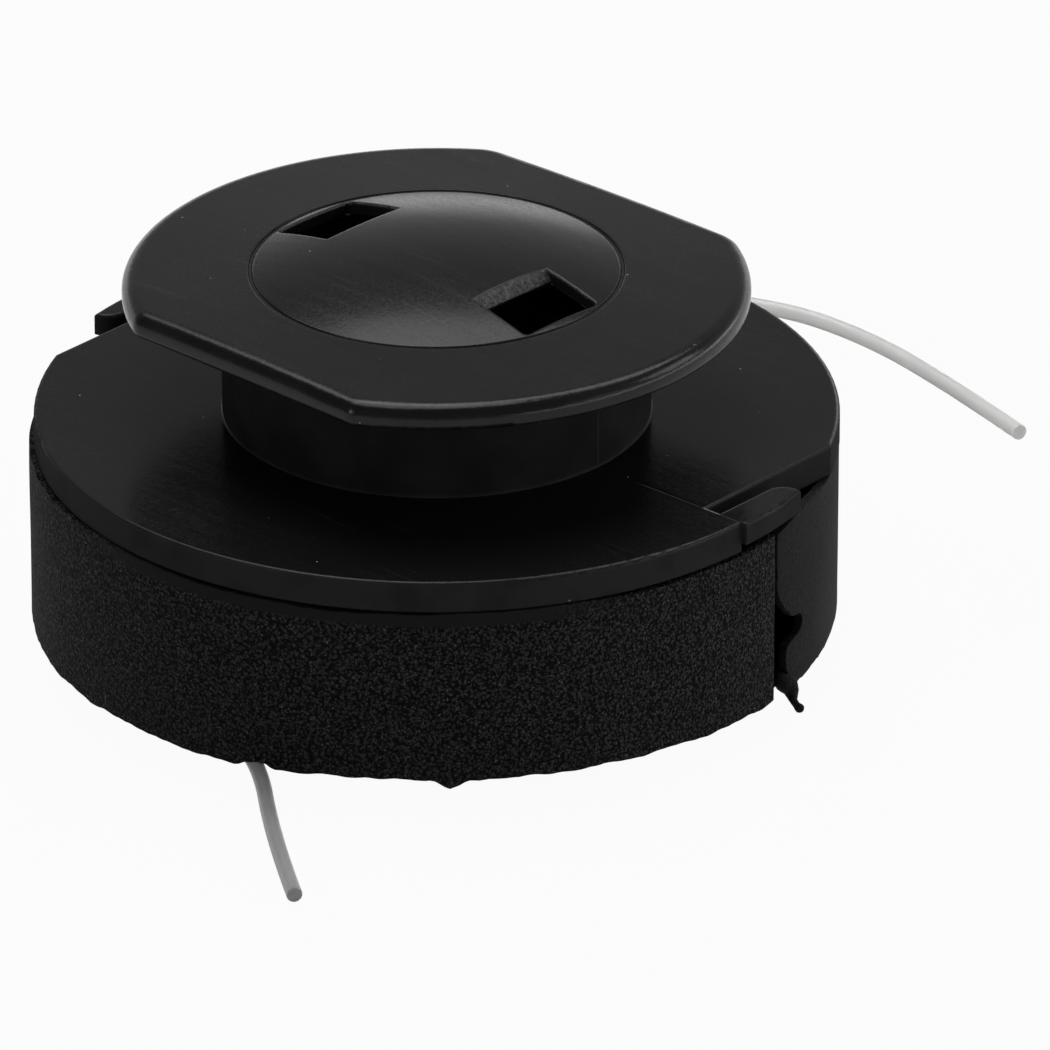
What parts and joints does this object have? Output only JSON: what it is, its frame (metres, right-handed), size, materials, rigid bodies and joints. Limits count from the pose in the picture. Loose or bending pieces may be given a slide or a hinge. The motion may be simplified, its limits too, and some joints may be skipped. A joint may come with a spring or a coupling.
{
  "type": "trimmer line spool",
  "caption": "Black moulded trimmer spool with a domed, windowed bump head on a neck, wound nylon line under a grained wrap band, and free line ends.",
  "frame": {"origin": "on the spool's axis at the base ring that it stands on", "axes": "+Z along the spool's axis towards the domed head, +X through the windows and line slots, +Y square to the head's flats"},
  "size_m": [0.087, 0.1105, 0.0426],
  "materials": {
    "spool_plastic": "satin black moulded nylon",
    "nylon_line": "translucent natural nylon",
    "band_vinyl": "grained black vinyl"
  },
  "bodies": {
    "root": {"spool_body": "spool_plastic", "upper_line_winding": "nylon_line", "lower_line_winding": "nylon_line", "wrap_band": "band_vinyl", "upper_line_end": "nylon_line", "lower_line_end": "nylon_line"}
  },
  "joints": []
}
